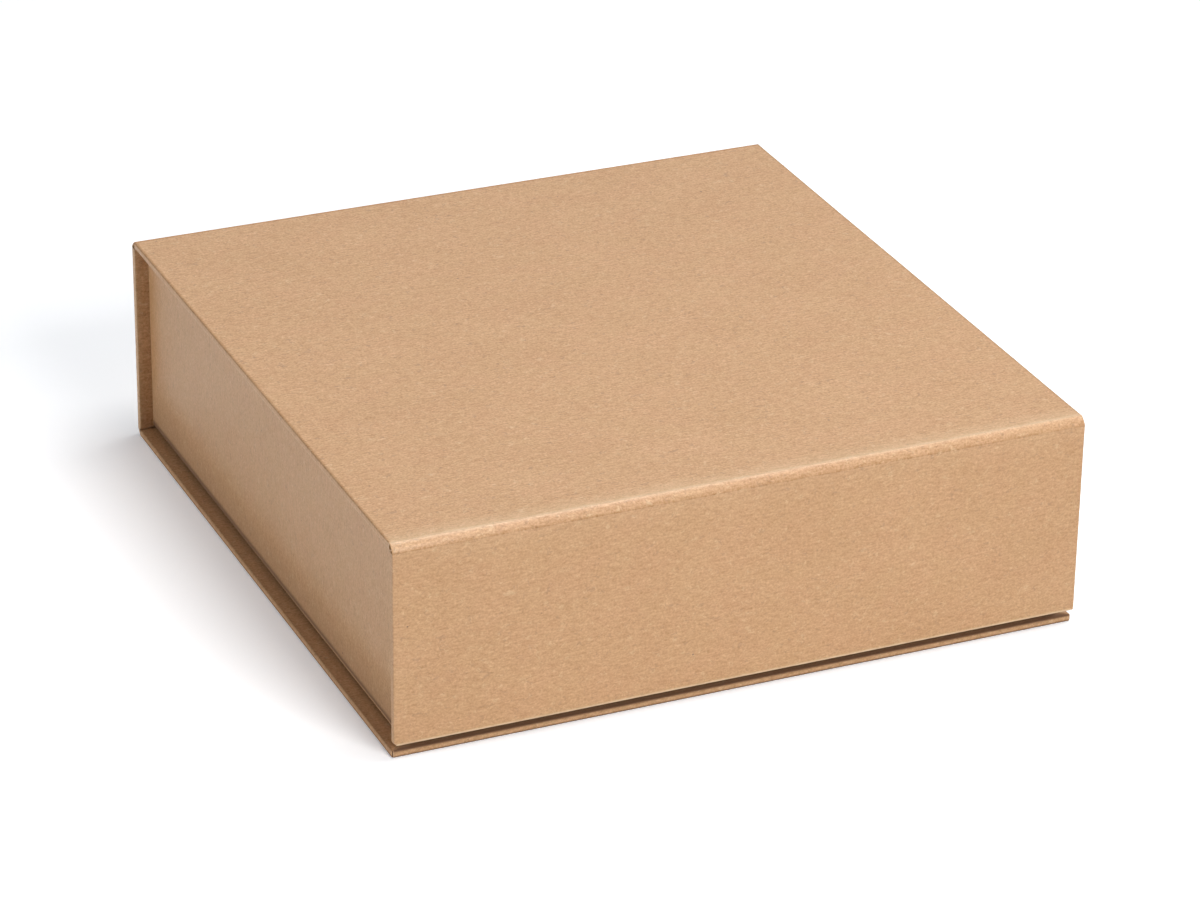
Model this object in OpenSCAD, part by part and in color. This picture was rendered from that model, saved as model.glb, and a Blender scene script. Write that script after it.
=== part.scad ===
// Rigid presentation box, closed like a book.
// One wrapped cover of four board panels (base, spine, lid, flap) folds round a wrapped board tray.
// X runs along the width, -Y is the flap's side, +Y is the spine's side and +Z is up.
// The origin is the middle of the footprint, on the surface that the box stands on.

/* [Cover] */
// Width of the cover, left to right
cover_w = 220; // [160:1:320]
// Depth of the closed box, from the flap's face to the spine's face
cover_d = 230; // [160:1:320]
// Height of the closed box
cover_h = 69; // [50:1:120]
// Thickness of the board in the cover's four panels
panel_board_t = 1.8; // [1.6:0.1:3]
// Room that a fold leaves between the inner corners of its two panels
fold_slack = 0.2; // [0.1:0.05:1.5]
// Gap between the flap's lower edge and the top of the base
flap_lift = 2.4; // [1:0.1:6]
// Corner radius at the flap's two lower corners
flap_corner_r = 1.5; // [0.8:0.1:6]
// Setback of the base's front edge behind the flap's face
base_setback = 1.6; // [0:0.1:4]
// Corner radius at the base's two front corners
base_corner_r = 0.8; // [0.6:0.1:6]

/* [Paper] */
// Thickness of the wrapping and lining paper
paper_t = 0.2; // [0.12:0.02:0.3]
// Radius of the paper where it turns over a board's edge
edge_r = 0.35; // [0.2:0.05:0.6]
// Width of paper turned in behind the panels' edges and under the tray
turn_in = 15; // [10:1:25]
// Width of the open joint where two turned-in strips meet at a corner
mitre_gap = 0.3; // [0.1:0.05:1]
// Setback of the cover's lining from the panels' edges
lining_inset = 3; // [2:0.5:8]
// Length of lining glued down behind the tray's back wall
lining_tail = 15; // [8:1:30]

/* [Tray] */
// Overhang of the cover past each side of the tray
side_reveal = 4.4; // [1:0.1:10]
// Thickness of the tray's board
tray_board_t = 1.8; // [1.6:0.1:3]
// Outer radius of the board where the tray's walls fold up from its floor
tray_fold_r = 2; // [0.5:0.1:3]
// Outer radius of the board at the tray's four upright corners
tray_corner_r = 0.5; // [0.3:0.1:3]
// Setback of the floor lining from the tray's walls
floor_lining_gap = 0.5; // [0.2:0.1:3]

/* [Fits] */
// Gap between the closed lid's lining and the tray's rim
lid_clearance = 0.3; // [0.2:0.05:1.5]
// Gap between the closed flap's lining and the tray's front wall
flap_clearance = 0.3; // [0.2:0.05:1.5]

/* [Magnets] */
// Diameter of the magnets in the flap and in the tray's front wall
magnet_d = 12; // [8:1:15]
// Thickness of the magnets, below the thickness of either board
magnet_t = 1.5; // [0.8:0.1:1.5]
// Distance between the two magnets of a pair
magnet_span = 120; // [50:1:130]
// Height of the magnets' centres above the top of the base
magnet_rise = 18; // [14:1:28]
// Gap round a magnet in its hole
magnet_clearance = 0.05; // [0.02:0.01:0.3]

/* [Hidden] */
$fn = 48;
// A cut starts and ends this far outside what it cuts
over = 1;
// Radius that the paper's pull leaves on the edges of the tray's board
board_edge_r = 0.15;
// Colours of the kraft paper, the grey board and the plated magnets
kraft = "#c79f73";
kraft_shade = "#b88e62";
board_grey = "#8d8880";
nickel = "#c9ccd0";
// A panel is board between two sheets, and the lining adds one more sheet
panel_t = panel_board_t + 2 * paper_t;
lined_t = panel_t + paper_t;
// Distance of each crease from the sharp corner that the two panels would make
fold_set = lined_t + fold_slack;
// Lengths of the panels between their folds and free edges
lid_len = cover_d - 2 * fold_set;
spine_len = cover_h - 2 * fold_set;
base_len = cover_d - fold_set - base_setback;
flap_len = cover_h - fold_set - panel_t - flap_lift;
// Outside of the wrapped tray
tray_w = cover_w - 2 * side_reveal;
tray_front = -cover_d / 2 + lined_t + flap_clearance;
tray_back = cover_d / 2 - lined_t;
tray_d = tray_back - tray_front;
tray_z = panel_t;
tray_h = cover_h - lined_t - lid_clearance - tray_z;
tray_wall = tray_board_t + 2 * paper_t;
tray_floor = tray_z + paper_t + tray_board_t;

// Places for the four panels: each is drawn flat, outer face on z = 0, from its fold at y = 0 to y = length
module in_base() translate([0, cover_d / 2 - fold_set, 0]) rotate([0, 0, 180]) children();
module in_spine() translate([0, cover_d / 2, cover_h - fold_set]) rotate([-90, 0, 180]) children();
module in_lid() translate([0, cover_d / 2 - fold_set, cover_h]) rotate([180, 0, 0]) children();
module in_flap() translate([0, -cover_d / 2, cover_h - fold_set]) rotate([-90, 0, 0]) children();

// A profile drawn in Y and Z, run along the width
module along_width(w) rotate([90, 0, 90]) linear_extrude(w, center = true) children();
// A profile drawn in X and Z, run from y0 to y1
module along_depth(y0, y1) translate([0, y1, 0]) rotate([90, 0, 0]) linear_extrude(y1 - y0) children();

// Block centred on X, between two depths and two heights
module block(w, y0, y1, z0, z1) translate([-w / 2, y0, z0]) cube([w, y1 - y0, z1 - z0]);

// Rectangle from corner p to corner q with its four corners rounded
module rounded(p, q, r) {
    translate([p.x + r, p.y]) square([q.x - p.x - 2 * r, q.y - p.y]);
    translate([p.x, p.y + r]) square([q.x - p.x, q.y - p.y - 2 * r]);
    for (x = [p.x + r, q.x - r], y = [p.y + r, q.y - r])
        translate([x, y]) circle(r);
}

// Plan of a panel, w wide, from y0 to a free end with rounded corners
module free_plan(w, y0, y1, r) {
    translate([-w / 2, y0]) square([w, y1 - y0 - r]);
    translate([-w / 2 + r, y0]) square([w - 2 * r, y1 - y0]);
    for (side = [-1, 1])
        translate([side * (w / 2 - r), y1 - r]) circle(r);
}

// Outer form of a wrapped panel that has a fold at both ends
module folded_form(length)
    along_depth(0, length) rounded([-cover_w / 2, 0], [cover_w / 2, panel_t], edge_r);

// Outer form of a wrapped panel that ends in a free edge
module free_form(length, corner_r)
    intersection() {
        folded_form(length);
        along_width(cover_w) rounded([-over, 0], [length, panel_t], edge_r);
        linear_extrude(panel_t) free_plan(cover_w, 0, length, corner_r);
    }

// Room for the board inside a wrapped panel, and the bare back that the turned-in strips leave
module board_room(length) {
    block(cover_w - 2 * paper_t, paper_t, length - paper_t, paper_t, paper_t + panel_board_t);
    block(cover_w - 2 * turn_in, -over, length + over, paper_t, lined_t);
}

// Room at a fold for the lining that goes round the board's end
module lining_room(y)
    block(cover_w - 2 * lining_inset, y - over, y + paper_t, paper_t, lined_t);

// Open joints at 45 degrees where the side strips meet the strip at the free end
module mitre_joints(length)
    for (side = [-1, 1])
        translate([side * cover_w / 2, length, paper_t + panel_board_t])
            rotate([0, 0, side * 45])
                block(mitre_gap, -sqrt(2) * turn_in - over, over, 0, lined_t);

// Sheet over a panel between two folds, turned in along its sides and pressed over the board's ends there
module folded_wrap(length)
    difference() {
        folded_form(length);
        board_room(length);
        lining_room(0);
        translate([0, length, 0]) mirror([0, 1, 0]) lining_room(0);
    }

// Sheet over a panel with a free edge, turned in along three sides
module free_wrap(length, corner_r)
    difference() {
        free_form(length, corner_r);
        translate([0, 0, paper_t])
            linear_extrude(panel_board_t)
                free_plan(cover_w - 2 * paper_t, paper_t, length - paper_t, corner_r - paper_t);
        block(cover_w - 2 * turn_in, -over, length - turn_in, paper_t, lined_t);
        mitre_joints(length);
    }

// Board of a panel with a free edge, cut square at its fold
module free_board(length, corner_r)
    translate([0, 0, paper_t])
        linear_extrude(panel_board_t)
            free_plan(cover_w - 2 * paper_t, paper_t, length - paper_t, corner_r - paper_t);

// Board of a panel between two folds
module folded_board(length)
    block(cover_w - 2 * paper_t, paper_t, length - paper_t, paper_t, paper_t + panel_board_t);

// Lining of a panel: it lies on the turned-in strips, steps down onto the board and goes round the fold ends
module panel_lining(y_end, y_turned, both_ends) {
    difference() {
        block(cover_w - 2 * lining_inset, 0, y_end, panel_t, lined_t);
        block(cover_w - 2 * turn_in - 2 * paper_t, -over, y_turned, panel_t - over, lined_t + over);
    }
    block(cover_w - 2 * turn_in, 0, min(y_end, y_turned + paper_t), panel_t - paper_t, panel_t);
    block(cover_w - 2 * lining_inset, 0, paper_t, paper_t, panel_t);
    if (both_ends)
        block(cover_w - 2 * lining_inset, y_end - paper_t, y_end, paper_t, panel_t);
}

// Section of the sheet where it bevels round a fold, with the sharp corner at the origin
module bevel_section(t)
    polygon([[0, -fold_set], [fold_set, 0], [fold_set, -t * sqrt(2)], [t * sqrt(2), -fold_set]]);

// Holes or magnets, drawn in the flap's panel or in the tray's front wall
module magnet_pair(d, y0, y1)
    for (side = [-1, 1])
        translate([side * magnet_span / 2, y1, panel_t + magnet_rise])
            rotate([90, 0, 0]) cylinder(h = y1 - y0, d = d);

module base_board()
    color(board_grey) in_base() free_board(base_len, base_corner_r);

module spine_board()
    color(board_grey) in_spine() folded_board(spine_len);

module lid_board()
    color(board_grey) in_lid() folded_board(lid_len);

module flap_board()
    color(board_grey)
        difference() {
            in_flap() free_board(flap_len, flap_corner_r);
            magnet_pair(magnet_d + 2 * magnet_clearance, -cover_d / 2, -cover_d / 2 + lined_t);
        }

// The sheet over the base and the spine, with the fold between them, which the glued tray holds shut
module base_spine_wrap()
    color(kraft) {
        in_base() free_wrap(base_len, base_corner_r);
        in_spine()
            difference() {
                folded_form(spine_len);
                board_room(spine_len);
                lining_room(0);
            }
        translate([0, cover_d / 2, 0])
            mirror([0, 0, 1])
                mirror([0, 1, 0])
                    difference() {
                        along_width(cover_w) bevel_section(2 * paper_t);
                        along_width(cover_w - 2 * turn_in)
                            translate([paper_t * sqrt(2), 0]) bevel_section(fold_set);
                    }
    }

// End of the lid's lining, glued over the spine's top edge and down behind the tray
module spine_lining()
    color(kraft_shade)
        in_spine() {
            block(tray_w - 2 * lining_inset, 0, lining_tail, panel_t, lined_t);
            block(tray_w - 2 * lining_inset, 0, paper_t, paper_t, panel_t);
        }

module lid_wrap()
    color(kraft) in_lid() folded_wrap(lid_len);

module lid_lining()
    color(kraft_shade) in_lid() panel_lining(lid_len, lid_len + over, true);

module flap_wrap()
    color(kraft)
        in_flap()
            difference() {
                free_wrap(flap_len, flap_corner_r);
                lining_room(0);
            }

module flap_lining()
    color(kraft_shade)
        in_flap() panel_lining(flap_len - lining_inset, flap_len - turn_in - paper_t, false);

// Wrap and lining glued face to face where the lid hinges on the spine
module lid_fold()
    color(kraft)
        translate([0, cover_d / 2, cover_h])
            mirror([0, 1, 0]) along_width(cover_w) bevel_section(2 * paper_t);

// Wrap and lining glued face to face where the flap hinges on the lid
module flap_fold()
    color(kraft)
        translate([0, -cover_d / 2, cover_h]) along_width(cover_w) bevel_section(2 * paper_t);

// Section of the tray between two walls: round folds below, and a rim that the paper rounds over
module tray_section(p, q, fold_r, rim_r)
    intersection() {
        rounded(p, [q.x, q.y + 2 * fold_r], fold_r);
        rounded([p.x, p.y - 2 * rim_r], q, rim_r);
    }

// Outer form of the tray, drawn in by a margin
module tray_form(margin, rim_r) {
    x = tray_w / 2 - margin;
    y0 = tray_front + margin;
    y1 = tray_back - margin;
    z0 = tray_z + margin;
    z1 = tray_z + tray_h - margin;
    fold_r = tray_fold_r + paper_t - margin;
    corner_r = tray_corner_r + paper_t - margin;
    intersection() {
        translate([0, 0, z0]) linear_extrude(z1 - z0) rounded([-x, y0], [x, y1], corner_r);
        along_depth(y0, y1) tray_section([-x, z0], [x, z1], fold_r, rim_r);
        along_width(2 * x) tray_section([y0, z0], [y1, z1], fold_r, rim_r);
    }
}

// Room inside the tray's walls, drawn in by a margin from the outside
module tray_room(margin, z)
    block(tray_w - 2 * margin, tray_front + margin, tray_back - margin, z, cover_h + over);

module tray_board()
    color(board_grey)
        difference() {
            tray_form(paper_t, board_edge_r);
            tray_room(paper_t + tray_board_t, tray_floor);
            magnet_pair(magnet_d + 2 * magnet_clearance, tray_front - over, tray_front + tray_wall);
        }

// The sheet round the tray's walls, over the rim, down inside to the floor, and turned under the floor
module tray_wrap()
    color(kraft)
        difference() {
            tray_form(0, edge_r);
            difference() {
                tray_form(paper_t, board_edge_r);
                tray_room(paper_t + tray_board_t, tray_floor);
            }
            tray_room(tray_wall, tray_floor);
            block(tray_w - 2 * turn_in, tray_front + turn_in, tray_back - turn_in, 0, tray_floor + over);
        }

module tray_floor_lining()
    color(kraft_shade)
        block(
            tray_w - 2 * tray_wall - 2 * floor_lining_gap,
            tray_front + tray_wall + floor_lining_gap,
            tray_back - tray_wall - floor_lining_gap,
            tray_floor, tray_floor + paper_t
        );

// Each pair lies flush with the face that the other pair meets
module flap_magnets()
    color(nickel)
        magnet_pair(magnet_d, -cover_d / 2 + panel_t - paper_t - magnet_t, -cover_d / 2 + panel_t - paper_t);

module tray_magnets()
    color(nickel)
        magnet_pair(magnet_d, tray_front + paper_t, tray_front + paper_t + magnet_t);

base_board();
spine_board();
base_spine_wrap();
spine_lining();
tray_board();
tray_wrap();
tray_floor_lining();
tray_magnets();
lid_fold();
lid_board();
lid_wrap();
lid_lining();
flap_fold();
flap_board();
flap_wrap();
flap_lining();
flap_magnets();
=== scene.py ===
# %% [markdown]
# # A rigid presentation box in kraft paper
#
# The real object is a box made by hand from grey board and brown paper. Four board panels (base, spine, lid
# and flap) lie in a row on one sheet of paper, whose edges are turned in over them. That cover folds round a
# tray, which is wrapped in the same paper, and the flap comes down over the front.
#
# The box could be modelled as solid blocks, but then every edge would be as sharp as a knife. Here each sheet
# of paper is built as paper: a surface that turns over the edges of the board, given its real thickness. The
# loaded model is in metres and gives the large sizes, so none of them is measured twice.

# %% Load the model of the box
import math

import bpy
from mathutils import Matrix, Vector, noise


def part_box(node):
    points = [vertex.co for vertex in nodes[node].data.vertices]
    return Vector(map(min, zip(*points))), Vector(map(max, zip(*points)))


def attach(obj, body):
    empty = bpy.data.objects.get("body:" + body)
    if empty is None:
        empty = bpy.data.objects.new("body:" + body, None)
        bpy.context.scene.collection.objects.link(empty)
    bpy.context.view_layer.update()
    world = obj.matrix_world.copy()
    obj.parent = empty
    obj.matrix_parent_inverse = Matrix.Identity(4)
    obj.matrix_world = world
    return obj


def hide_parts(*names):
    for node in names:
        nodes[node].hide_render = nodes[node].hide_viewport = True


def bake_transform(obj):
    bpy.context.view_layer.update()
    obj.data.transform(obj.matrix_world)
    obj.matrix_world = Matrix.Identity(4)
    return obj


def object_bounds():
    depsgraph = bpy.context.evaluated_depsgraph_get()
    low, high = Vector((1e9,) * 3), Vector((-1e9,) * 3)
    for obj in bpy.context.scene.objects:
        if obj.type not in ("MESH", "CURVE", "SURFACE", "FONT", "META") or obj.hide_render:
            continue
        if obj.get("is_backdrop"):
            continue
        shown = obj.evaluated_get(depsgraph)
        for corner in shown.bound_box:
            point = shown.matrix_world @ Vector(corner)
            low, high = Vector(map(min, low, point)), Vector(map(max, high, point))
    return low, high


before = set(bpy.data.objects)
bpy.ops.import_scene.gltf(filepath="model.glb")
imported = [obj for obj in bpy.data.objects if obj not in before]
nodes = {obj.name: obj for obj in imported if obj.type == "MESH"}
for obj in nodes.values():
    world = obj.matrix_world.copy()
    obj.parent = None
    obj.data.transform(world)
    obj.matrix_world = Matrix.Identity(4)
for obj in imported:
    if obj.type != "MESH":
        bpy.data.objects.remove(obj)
model_low, model_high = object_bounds()
size = model_high - model_low
print("pieces in the model:", len(nodes))
print("width, depth and height in mm:", [round(s * 1000, 1) for s in size])

# %% [markdown]
# ## Sizes
#
# The paper is 0.2 mm thick, and a wrapped panel is board with one sheet on each side.
# The size of the box, the panel's thickness and the crease come from the boxes round the model's own pieces;
# the radii, the turn-in, the gaps and the lining's inset are given here.
# The crease of a fold lies a little way in from the corner that two panels would make if they met.
# The base's free corners are nearly square, and those of the rest of the cover a little rounder.

# %% Measure the board and the folds
MM = 0.001
paper = 0.2 * MM
edge_radius = 0.35 * MM
base_corner, cover_corner = 0.8 * MM, 1.5 * MM
turn_in = 15 * MM
joint_gap = 0.3 * MM
lining_inset = 3 * MM
width, depth, height = size
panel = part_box("lid_wrap")[1].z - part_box("lid_wrap")[0].z
lined = panel + paper
crease = model_high.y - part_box("lid_wrap")[1].y
print("wrapped panel %.2f mm, crease %.2f mm from the corner" % (panel / MM, crease / MM))

# %% [markdown]
# ## Panels as places to work
#
# It is easiest to wrap a panel while it lies flat, as a box maker does. A panel here is a flat place: x runs
# across it, y runs from its fold to its far end, and depth goes in towards the board. The panel then says
# where each such point is on the closed box. It also holds the marks on its edges, folds and corners, which
# are partly wear and partly painted light: above 0 the paper is painted pale, for rubbing and for painted
# highlights, and below 0 it is painted dark, for pressing and for painted shade. The numbers were set
# against the photograph, one panel at a time.

# %% Four flat panels
class Panel:
    """A flat panel of the cover, with its outer face at depth 0 and its fold at y = 0."""

    def __init__(self, origin, along, inward, length, corner, start, wear_and_light):
        self.origin, self.along, self.inward = Vector(origin), Vector(along), Vector(inward)
        self.length, self.corner, self.start, self.wear_and_light = length, corner, start, wear_and_light

    def place(self, x, y, in_by):
        return self.origin + Vector((x, 0, 0)) + self.along * y + self.inward * in_by

    def faces_in(self):
        """True if faces drawn anticlockwise on the flat panel look in towards the board."""
        return Vector((1, 0, 0)).cross(self.along).dot(self.inward) > 0


back, front = depth / 2, -depth / 2
lid_length, spine_length = depth - 2 * crease, height - 2 * crease
flap_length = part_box("flap_wrap")[1].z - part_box("flap_wrap")[0].z
base_length = back - crease - (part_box("base_board")[0].y - paper)
fold_length = crease * math.sqrt(2)
spine_start = base_length + fold_length
lid_start = spine_start + spine_length + fold_length
flap_start = lid_start + lid_length + fold_length
NO_EDGE_MARK, NO_FOLD_MARK = (0, 0, 0), (0, 0)
ON_FACE, ON_CORNER, ON_EDGE = -1, 0, 1


def handling_and_painted_light(side, end=NO_EDGE_MARK, first_fold=NO_FOLD_MARK, last_fold=NO_FOLD_MARK, pleats=0, square=0, under=0):
    """How a panel's paper is marked, by rubbing and painted light: (outer, inner, place of the outer) at an
    edge, and (line, band) at a fold.

    pleats is how strongly the pleats at a free corner show, pale where the paper stands out, partly rubbing
    and partly painted highlight, and dark with painted shade where it dips; square is how far the right
    corner is squared, and under is how much further in the inner mark of the free end reaches, as painted
    shade.
    """
    return {
        "side": side, "end": end, "first_fold": first_fold, "last_fold": last_fold,
        "pleats": pleats, "square": square, "under": under}


# The base is painted with shade: a dark line where its edges meet the table, dark paper on its top beside the
# tray's walls, and dark paper under the flap that reaches further in. Its pleats are painted strongly.
base_wear_and_shade = handling_and_painted_light(
    (-0.9, -0.5, ON_EDGE), end=(-1.3, -1.25, (ON_CORNER + ON_EDGE) / 2),
    first_fold=(0.2, 0.1), pleats=12, under=7)
spine_wear = handling_and_painted_light((0.2, 0.4, ON_CORNER), first_fold=(0.2, 0.1), last_fold=(0.2, 0.1))
# The lid beside the flap's fold is painted paler, partly rubbing and partly painted highlight.
lid_wear_and_highlight = handling_and_painted_light((-0.65, 0.4, ON_CORNER), first_fold=(-0.3, 0), last_fold=(0.30, 0.28))
# The flap's free end: a pale line on its outside edge from rubbing, and painted shade on its inner side over
# the gap under it.
flap_wear_and_shade = handling_and_painted_light(
    (-0.1, 0, ON_CORNER), end=(0.9, -1.2, ON_FACE), first_fold=(0, 0.06), pleats=2, square=0.8)
base = Panel(
    (0, back - crease, 0), (0, -1, 0), (0, 0, 1), base_length, base_corner, 0, base_wear_and_shade)
spine = Panel(
    (0, back, height - crease), (0, 0, -1), (0, -1, 0), spine_length, cover_corner, spine_start, spine_wear)
lid = Panel(
    (0, back - crease, height), (0, -1, 0), (0, 0, -1), lid_length, cover_corner, lid_start, lid_wear_and_highlight)
flap = Panel(
    (0, front, height - crease), (0, 0, -1), (0, 1, 0), flap_length, cover_corner, flap_start, flap_wear_and_shade)
print("panel lengths in mm:", [round(p.length / MM, 1) for p in (base, spine, lid, flap)])

# %% [markdown]
# ## A sheet of paper
#
# A sheet is a list of points and the faces between them. Each point keeps three things: where it is on the
# box, where it was on the flat sheet before folding, and its mark of wear and painted light. The flat place
# becomes the texture coordinate, so the grain of the paper runs over a fold without a break, as it does in
# real paper.

# %% Sheets, and pieces made of them
class Sheet:
    """Points and faces of one sheet of paper."""

    def __init__(self, turned_over=False):
        self.at, self.flat, self.worn, self.faces = [], [], [], []
        self.turned_over = turned_over

    def point(self, at, flat, worn=0.0):
        self.at.append(at)
        self.flat.append(flat)
        self.worn.append(worn)
        return len(self.at) - 1

    def band(self, rows):
        """Fills the space between neighbouring rows of points with faces."""
        for low, high in zip(rows, rows[1:]):
            for corners in zip(low, low[1:], high[1:], high):
                corners = list(dict.fromkeys(corners))
                if len(corners) > 2:
                    self.faces.append(corners[::-1] if self.turned_over else corners)


def paper_piece(name, sheets, thickness=paper):
    """One object made of sheets, each given its thickness towards the board."""
    at, flat, worn, faces = [], [], [], []
    for sheet in sheets:
        first = len(at)
        at += sheet.at
        flat += sheet.flat
        worn += sheet.worn
        faces += [[first + c for c in corners] for corners in sheet.faces]
    mesh = bpy.data.meshes.new(name)
    mesh.from_pydata(at, [], faces)
    coordinates = mesh.uv_layers.new(name="flat_sheet")
    for loop in mesh.loops:
        coordinates.data[loop.index].uv = flat[loop.vertex_index]
    mesh.attributes.new("worn", "FLOAT", "POINT").data.foreach_set("value", worn)
    piece = bpy.data.objects.new(name, mesh)
    bpy.context.scene.collection.objects.link(piece)
    thicken = piece.modifiers.new("thickness", "SOLIDIFY")
    thicken.thickness, thicken.offset, thicken.use_even_offset = thickness, -1, True
    bpy.context.view_layer.update()
    thickened = piece.evaluated_get(bpy.context.evaluated_depsgraph_get())
    solid = bpy.data.meshes.new_from_object(thickened)
    mended = mend_folds(mesh, solid, thickness)
    piece.modifiers.clear()
    piece.data = solid
    solid.name = name
    soften(piece)
    print("%s: %d faces, %d points mended" % (name, len(solid.polygons), mended))
    return piece


TOO_FAR = 2.5


def mend_folds(mesh, solid, thickness):
    """Brings back under its sheet any point that the thickness has thrown out, at a sharp fold."""
    count, mended = len(mesh.vertices), 0
    for over, under in zip(mesh.vertices, solid.vertices[count:]):
        if (under.co - over.co).length > TOO_FAR * thickness:
            under.co = over.co - over.normal * thickness
            mended += 1
    return mended


def soften(piece, angle=40):
    """Smooth shading, except at edges that turn more sharply than the angle."""
    mesh = piece.data
    mesh.polygons.foreach_set("use_smooth", [True] * len(mesh.polygons))
    mesh.set_sharp_from_angle(angle=math.radians(angle))


print("a sheet's thickness is %.1f mm, and that of a double one %.1f mm" % (paper / MM, 2 * paper / MM))

# %% [markdown]
# ## Where the grid lines go
#
# A flat panel needs few points in its middle, and many near its edges, where rubbing and painted shade fade
# over a millimetre or two. So the lines of the grid start close together at each end and soon reach an even
# spacing.

# %% Lines for the grids
NEAR_AN_EDGE_MM = [0, 0.25, 0.6, 1.1, 1.8, 3.0]
CLOSEST_LINES = 0.02 * MM
ROUNDING = 1e-9


def lines(low, high, spacing=4 * MM, extra=()):
    """Positions from low to high, close together near both ends."""
    near = [d * MM for d in NEAR_AN_EDGE_MM]
    inner_low, inner_high = low + near[-1], high - near[-1]
    count = max(1, round((inner_high - inner_low) / spacing))
    even = [inner_low + (inner_high - inner_low) * k / count for k in range(1, count)]
    found = [low + d for d in near] + even + [high - d for d in near] + list(extra)
    found = sorted(p for p in found if low - ROUNDING <= p <= high + ROUNDING)
    return [p for k, p in enumerate(found) if k == 0 or p - found[k - 1] > CLOSEST_LINES]


print("lines across the lid:", len(lines(-width / 2 + lid.corner, width / 2 - lid.corner)))

# %% [markdown]
# ## Paper is never quite flat
#
# Paper glued to board follows its small hollows, and takes up a little water from the glue. Smooth noise
# moves each point in by a few hundredths of a millimetre, which is enough to make the light wander. The
# movement fades away at the edges, so that neighbouring pieces still meet.

# %% Small hollows in the paper
def fade(distance, over=6 * MM):
    """0 at an edge, rising smoothly to 1 at a distance from it."""
    t = min(max(distance / over, 0), 1)
    return t * t * (3 - 2 * t)


BROAD_HOLLOW = 45 * MM
CLOSE_HOLLOW = (12 * MM, 17 * MM)


def hollow(u, v, seed, amount=0.05 * MM):
    """How far out the paper lies: never above 0, so the box keeps its true size."""
    broad = noise.noise(Vector((u / BROAD_HOLLOW, v / BROAD_HOLLOW, seed)))
    close = noise.noise(Vector((u / CLOSE_HOLLOW[0], v / CLOSE_HOLLOW[1], seed + 9.5)))
    return amount * min(0, broad + 0.35 * close - 1)


print("hollow at three places in mm:", [round(hollow(u, 0.1, 1) / MM, 3) for u in (0, 0.03, 0.06)])

# %% [markdown]
# ## Paper round the edge of a panel
#
# Past the edge of its board the sheet turns down, crosses the board's thickness, turns again and lies on the
# far side. The path below gives that turn as steps: how far out, how far in, and how much paper was used. Its
# two corners are small arcs, because paper pulled over board never makes a sharp corner.

# %% The path round an edge
OUTER_WEAR_AND_SHADE_WIDTH, INNER_WEAR_AND_SHADE_WIDTH = 0.28 * MM, 0.38 * MM
WEAR_ENDS = 0.3 * MM


def arc(steps=5):
    """The angles of a quarter turn, without its start."""
    return [math.radians(90) * k / steps for k in range(1, steps + 1)]


def turn_over(margin, reach, edge_wear_and_light, deep=1, steps=7):
    """(outward, inward, paper used, mark) from a margin inside the outline to a reach behind the panel, the
    mark being rubbing, pressing and painted shade near the edge.
    """
    r = edge_radius
    path = [(-margin, 0)]
    if margin > 3 * r:
        path += [(-0.5 * margin - 0.5 * r, 0)]
    path += [(-r, 0)]
    path += [(-r + r * math.sin(a), r - r * math.cos(a)) for a in arc()]
    path += [(0, r + WEAR_ENDS), (0, panel / 2), (0, panel - r - WEAR_ENDS), (0, panel - r)]
    path += [(-r + r * math.cos(a), panel - r + r * math.sin(a)) for a in arc()]
    path += [(-r - (reach - r) * k / steps, panel) for k in range(1, steps + 1)]
    used, found = -margin, []
    on_outer, on_inner, lean = edge_wear_and_light
    for k, (out, into) in enumerate(path):
        if k:
            used += math.hypot(out - path[k - 1][0], into - path[k - 1][1])
        outer = near_point(out, into, 0.5 * r * (lean - 1), 0.5 * r * (lean + 1), OUTER_WEAR_AND_SHADE_WIDTH)
        inner = near_point(out / deep, into, -0.2 * r / deep, panel - 0.2 * r, INNER_WEAR_AND_SHADE_WIDTH)
        found.append((out, into, used, on_outer * outer + on_inner * inner))
    return found


def near_point(out, into, wanted_out, wanted_in, within):
    """1 at a point of the path, falling to 0 a little way from it."""
    off = math.hypot(out - wanted_out, into - wanted_in) / within
    return math.exp(-off * off)


print("paper used by one turn: %.1f mm" % (turn_over(cover_corner, turn_in, NO_EDGE_MARK)[-1][2] / MM))

# %% [markdown]
# ## Wrapping a panel
#
# The outer face is a plain grid. Round it runs a rim, which follows the outline and turns over the edge.
# At a free corner the rim fans round a small arc, where the spare paper is pinched into two little pleats,
# and the strips behind it stop at 45 degrees, where the maker cut the paper.
# The rim shares the outermost points of the grid, so the sheet has no seam on the outside.

# %% The outline of a panel
# Degrees round the corner, and how far out the paper stands there in mm
PLEATS = [(12, 0), (24, 0.07), (33, -0.10), (45, -0.14), (54, -0.09), (63, 0.08), (78, 0.01)]


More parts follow.
